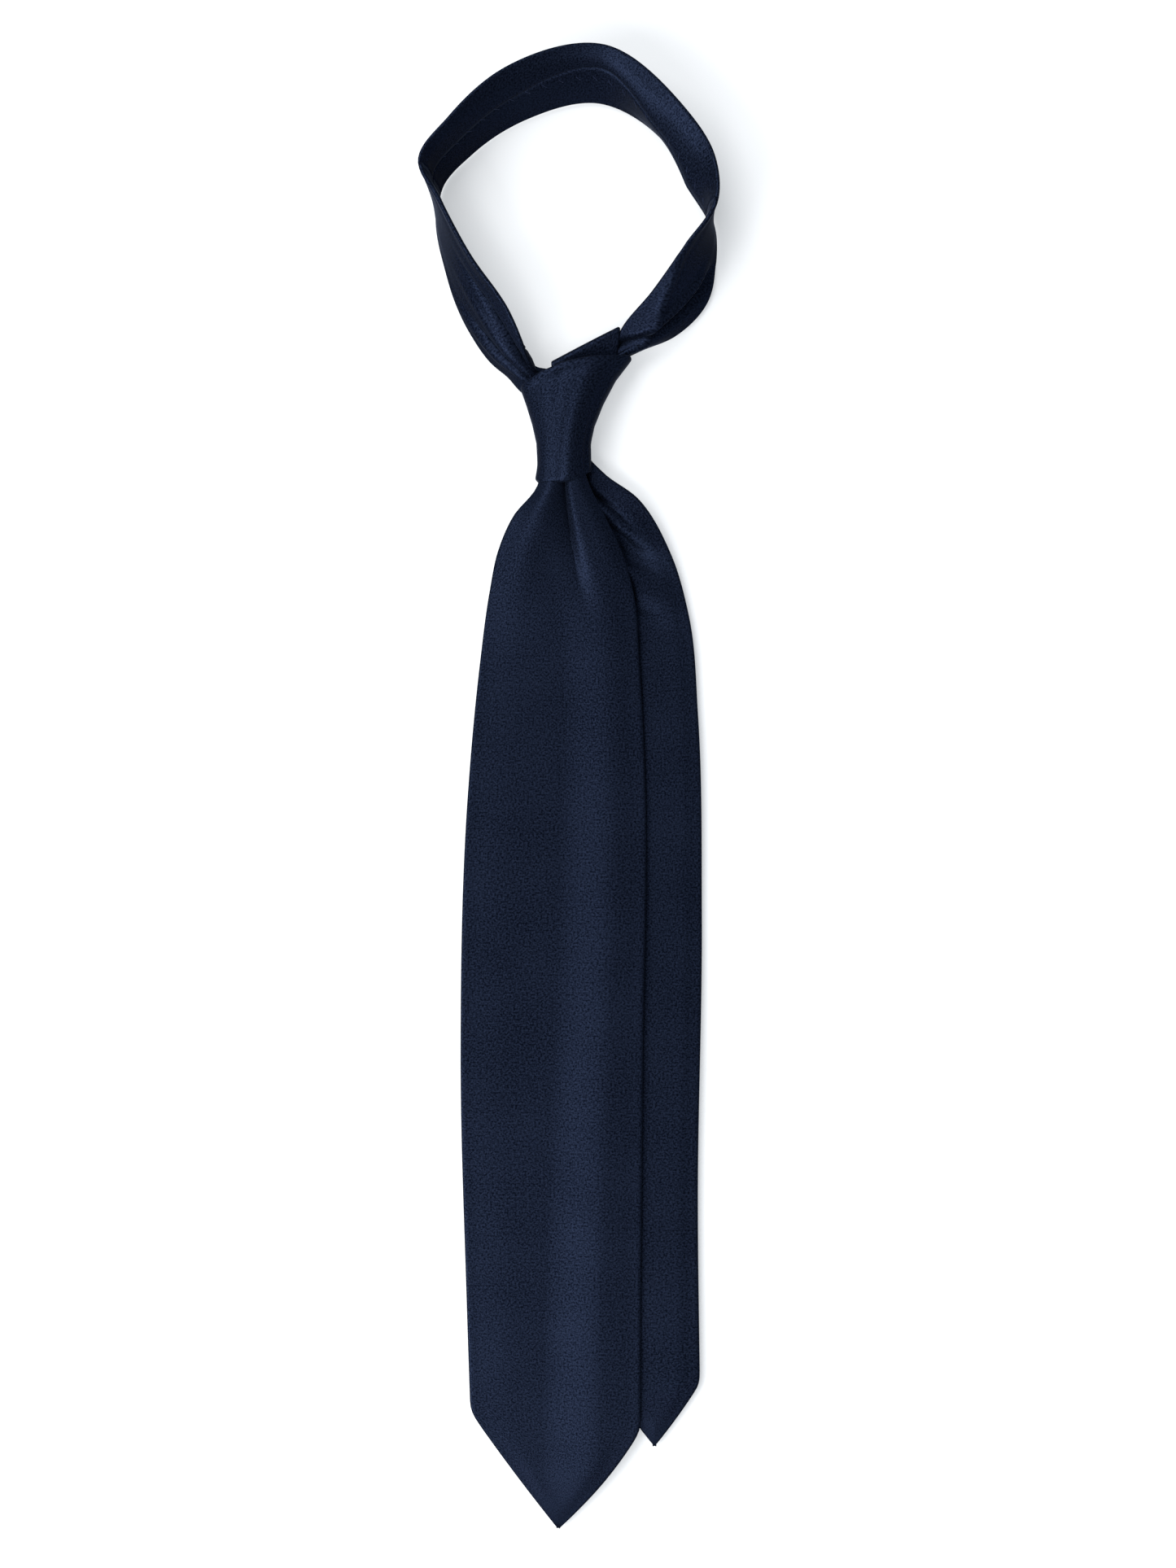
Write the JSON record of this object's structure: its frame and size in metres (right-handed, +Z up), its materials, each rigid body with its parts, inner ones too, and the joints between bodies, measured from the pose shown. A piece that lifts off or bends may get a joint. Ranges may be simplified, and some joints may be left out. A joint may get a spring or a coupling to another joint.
{
  "type": "necktie",
  "caption": "Ready-tied satin necktie in a four-in-hand knot, with a closed neck loop, a pointed blade and a narrower tail behind it.",
  "frame": {"origin": "middle of the knot's flat back face, which lies on the table", "axes": "+X to the side where the tail shows, +Y from the knot to the neck loop, +Z up from the table, out of the wearer's chest"},
  "size_m": [0.1319, 0.6583, 0.034],
  "materials": {
    "satin": "satin weave, soft sheen",
    "lining": "plain woven lining, slight sheen",
    "wool": "matt brushed wool",
    "thread": "twisted polyester thread"
  },
  "bodies": {
    "knot": {"knot_front_wrap": "satin", "knot_over_pass": "satin", "knot_back_wrap": "satin", "knot_inner_turn": "satin"},
    "neck_loop": {"neck_band_left": "satin", "neck_band_back": "satin", "neck_band_right": "satin", "neck_interlining": "wool", "slip_stitch_neck": "thread"},
    "blade_root": {"blade_neck": "satin"},
    "blade": {"blade_shell": "satin", "blade_interlining": "wool", "blade_tipping": "lining", "keeper_loop": "satin", "keeper_stitches_left": "thread", "keeper_stitches_right": "thread", "slip_stitch_blade": "thread", "blade_bar_tack": "thread"},
    "tail_root": {"tail_neck": "satin"},
    "tail": {"tail_shell": "satin", "tail_interlining": "wool", "tail_tipping": "lining", "slip_stitch_tail": "thread", "tail_bar_tack": "thread"}
  },
  "joints": [
    {"name": "loop_tilt", "type": "hinge", "parent": "knot", "child": "neck_loop", "pos_m": [0, 0.018, 0], "axis": [-1, 0, 0], "range_deg": [0, 80]},
    {"name": "blade_sway", "type": "hinge", "parent": "knot", "child": "blade_root", "pos_m": [-0.003, -0.0262, 0.013], "axis": [0, 0, 1], "range_deg": [-8, 0]},
    {"name": "blade_lift", "type": "hinge", "parent": "blade_root", "child": "blade", "pos_m": [-0.003, -0.0262, 0.0158], "axis": [-1, 0, 0], "range_deg": [0, 90]},
    {"name": "tail_slide", "type": "slide", "parent": "knot", "child": "tail_root", "axis": [0, -1, 0], "range_m": [0, 0.025]},
    {"name": "tail_lift", "type": "hinge", "parent": "tail_root", "child": "tail", "pos_m": [0.004, -0.0262, 0.0036], "axis": [1, 0, 0], "range_deg": [0, 60]}
  ]
}
